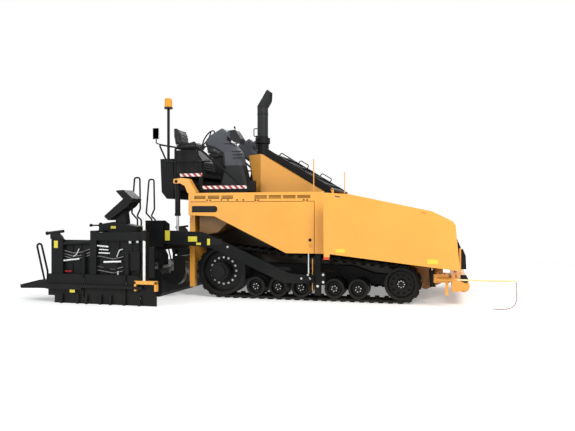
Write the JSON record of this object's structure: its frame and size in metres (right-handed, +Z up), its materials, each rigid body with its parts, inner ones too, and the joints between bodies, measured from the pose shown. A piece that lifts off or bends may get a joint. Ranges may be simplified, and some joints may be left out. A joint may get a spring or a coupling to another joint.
{
  "type": "asphalt paver",
  "caption": "Tracked asphalt paver with a front hopper, open operator platform and a rear screed whose ends slide out, standing parked with the screed down.",
  "frame": {"origin": "on the ground below the centre of the machine, midway between the end of the rear step and the tip of the guide rod", "axes": "+X forward to the hopper, +Y to the machine's left, +Z up"},
  "size_m": [7.6426, 5, 3.6616],
  "materials": {
    "yellow_paint": "satin enamel",
    "black_paint": "satin powder coat",
    "track_rubber": "moulded rubber",
    "chrome": "polished",
    "worn_steel": "bare worn steel",
    "grey_plastic": "moulded",
    "seat_cover": "seat cloth and vinyl",
    "amber_lens": "clear moulded lens",
    "red_white_plastic": "plastic chain"
  },
  "bodies": {
    "tractor": {"chassis": "yellow_paint", "engine": "black_paint", "side_frames": "yellow_paint", "rear_frame": "yellow_paint", "tow_columns": "black_paint", "track_right": "track_rubber", "track_left": "track_rubber", "drive_wheels": "black_paint", "road_wheels": "black_paint", "track_frames": "black_paint", "side_panel_right": "yellow_paint", "side_panel_left": "yellow_paint", "floor_plates": "black_paint", "hood": "yellow_paint", "exhaust": "black_paint", "platform": "black_paint", "rear_box": "black_paint", "seat_bases": "black_paint", "seats": "seat_cover", "consoles": "grey_plastic", "handrails": "black_paint", "beacon": "amber_lens", "lift_brackets": "yellow_paint", "bulkhead": "yellow_paint", "conveyors": "worn_steel", "guide_bracket": "yellow_paint", "auger_case": "black_paint"},
    "service_door_right": {"service_door_right": "yellow_paint"},
    "service_door_left": {"service_door_left": "yellow_paint"},
    "hood_cover": {"hood_cover": "black_paint"},
    "steering_wheel_right": {"steering_wheel_right": "black_paint"},
    "steering_wheel_left": {"steering_wheel_left": "black_paint"},
    "wing_right": {"wing_right": "yellow_paint"},
    "wing_left": {"wing_left": "yellow_paint"},
    "wing_barrel_right": {"wing_barrel_right": "black_paint"},
    "wing_barrel_left": {"wing_barrel_left": "black_paint"},
    "wing_rod_right": {"wing_rod_right": "chrome"},
    "wing_rod_left": {"wing_rod_left": "chrome"},
    "apron": {"apron": "black_paint"},
    "push_beam": {"push_beam": "yellow_paint"},
    "push_roller_right": {"push_roller_right": "yellow_paint"},
    "push_roller_left": {"push_roller_left": "yellow_paint"},
    "guide_rod": {"guide_rod": "yellow_paint", "guide_chain": "red_white_plastic"},
    "tow_blocks": {"tow_blocks": "black_paint"},
    "screed": {"tow_arms": "black_paint", "screed_box": "black_paint", "screed_bridge": "black_paint", "walkway": "black_paint"},
    "lift_barrels": {"lift_barrels": "black_paint"},
    "lift_rods": {"lift_rods": "chrome"},
    "auger_right": {"auger_right": "worn_steel"},
    "auger_left": {"auger_left": "worn_steel"},
    "extender_right": {"extender_right": "black_paint", "control_pod_right": "black_paint"},
    "extender_left": {"extender_left": "black_paint", "control_pod_left": "black_paint"},
    "endgate_right": {"endgate_right": "black_paint"},
    "endgate_left": {"endgate_left": "black_paint"}
  },
  "joints": [
    {"name": "service_door_right_lift", "type": "hinge", "parent": "tractor", "child": "service_door_right", "pos_m": [0, -1.4, 1.601], "axis": [-1, 0, 0], "range_deg": [0, 90]},
    {"name": "steering_wheel_right_turn", "type": "hinge", "parent": "tractor", "child": "steering_wheel_right", "pos_m": [-1.24, -0.75, 2.735], "axis": [-0.84, 0, 0.5426], "range_deg": [-170, 170]},
    {"name": "wing_right_fold", "type": "hinge", "parent": "tractor", "child": "wing_right", "pos_m": [0, -0.78, 0.76], "axis": [-1, 0, 0], "range_deg": [0, 60]},
    {"name": "wing_barrel_right_swing", "type": "hinge", "parent": "tractor", "child": "wing_barrel_right", "pos_m": [2.62, -0.85, 0.28], "axis": [-1, 0, 0], "range_deg": [-5, 60]},
    {"name": "wing_rod_right_stroke", "type": "slide", "parent": "wing_barrel_right", "child": "wing_rod_right", "axis": [0, -0.7837, 0.6211], "range_m": [-0.01, 0.4]},
    {"name": "push_roller_right_spin", "type": "hinge", "parent": "push_beam", "child": "push_roller_right", "pos_m": [3.085, -0.6, 0.3], "axis": [0, 1, 0], "continuous": true},
    {"name": "auger_right_spin", "type": "hinge", "parent": "tractor", "child": "auger_right", "pos_m": [-1.587, -0.7, 0.4], "axis": [0, 1, 0], "continuous": true},
    {"name": "extender_right_retract", "type": "slide", "parent": "screed", "child": "extender_right", "axis": [0, 1, 0], "range_m": [0, 0.88]},
    {"name": "endgate_right_height", "type": "slide", "parent": "extender_right", "child": "endgate_right", "axis": [0, 0, 1], "range_m": [0, 0.1]},
    {"name": "service_door_left_lift", "type": "hinge", "parent": "tractor", "child": "service_door_left", "pos_m": [0, 1.4, 1.601], "axis": [1, 0, 0], "range_deg": [0, 90]},
    {"name": "steering_wheel_left_turn", "type": "hinge", "parent": "tractor", "child": "steering_wheel_left", "pos_m": [-1.24, 0.75, 2.735], "axis": [-0.84, 0, 0.5426], "range_deg": [-170, 170]},
    {"name": "wing_left_fold", "type": "hinge", "parent": "tractor", "child": "wing_left", "pos_m": [0, 0.78, 0.76], "axis": [1, 0, 0], "range_deg": [0, 60]},
    {"name": "wing_barrel_left_swing", "type": "hinge", "parent": "tractor", "child": "wing_barrel_left", "pos_m": [2.62, 0.85, 0.28], "axis": [1, 0, 0], "range_deg": [-5, 60]},
    {"name": "wing_rod_left_stroke", "type": "slide", "parent": "wing_barrel_left", "child": "wing_rod_left", "axis": [0, 0.7837, 0.6211], "range_m": [-0.01, 0.4]},
    {"name": "push_roller_left_spin", "type": "hinge", "parent": "push_beam", "child": "push_roller_left", "pos_m": [3.085, 0.6, 0.3], "axis": [0, 1, 0], "continuous": true},
    {"name": "auger_left_spin", "type": "hinge", "parent": "tractor", "child": "auger_left", "pos_m": [-1.587, 0.7, 0.4], "axis": [0, 1, 0], "continuous": true},
    {"name": "extender_left_retract", "type": "slide", "parent": "screed", "child": "extender_left", "axis": [0, -1, 0], "range_m": [0, 0.88]},
    {"name": "endgate_left_height", "type": "slide", "parent": "extender_left", "child": "endgate_left", "axis": [0, 0, 1], "range_m": [0, 0.1]},
    {"name": "hood_cover_lift", "type": "hinge", "parent": "tractor", "child": "hood_cover", "pos_m": [0.986, 0, 1.806], "axis": [0, 1, 0], "range_deg": [0, 50]},
    {"name": "apron_tilt", "type": "hinge", "parent": "tractor", "child": "apron", "pos_m": [3.01, 0, 0.6], "axis": [0, 1, 0], "range_deg": [0, 70]},
    {"name": "push_beam_swivel", "type": "hinge", "parent": "tractor", "child": "push_beam", "pos_m": [2.85, 0, 0.3], "axis": [0, 0, 1], "range_deg": [-5, 5]},
    {"name": "guide_rod_slide", "type": "slide", "parent": "tractor", "child": "guide_rod", "axis": [-1, 0, 0], "range_m": [0, 0.6]},
    {"name": "tow_point_level", "type": "slide", "parent": "tractor", "child": "tow_blocks", "axis": [0, 0, 1], "range_m": [0, 0.1]},
    {"name": "screed_lift", "type": "hinge", "parent": "tow_blocks", "child": "screed", "pos_m": [0.72, 0, 0.366], "axis": [0, 1, 0], "range_deg": [0, 7]},
    {"name": "lift_barrels_swing", "type": "hinge", "parent": "tractor", "child": "lift_barrels", "pos_m": [-1.575, 0, 1.95], "axis": [0, 1, 0], "range_deg": [-10, 10]},
    {"name": "lift_rods_stroke", "type": "slide", "parent": "lift_barrels", "child": "lift_rods", "axis": [0, 0, -1], "range_m": [-0.35, 0.02]}
  ],
  "couplings": [
    {"joint": "wing_barrel_right_swing", "follows": "wing_right_fold", "ratio": 0.58984},
    {"joint": "wing_rod_right_stroke", "follows": "wing_right_fold", "m_per_rad": 0.31851},
    {"joint": "wing_barrel_left_swing", "follows": "wing_left_fold", "ratio": 0.58984},
    {"joint": "wing_rod_left_stroke", "follows": "wing_left_fold", "m_per_rad": 0.31851},
    {"joint": "lift_barrels_swing", "follows": "screed_lift", "ratio": -1.2684},
    {"joint": "lift_rods_stroke", "follows": "screed_lift", "m_per_rad": -2.1851}
  ]
}
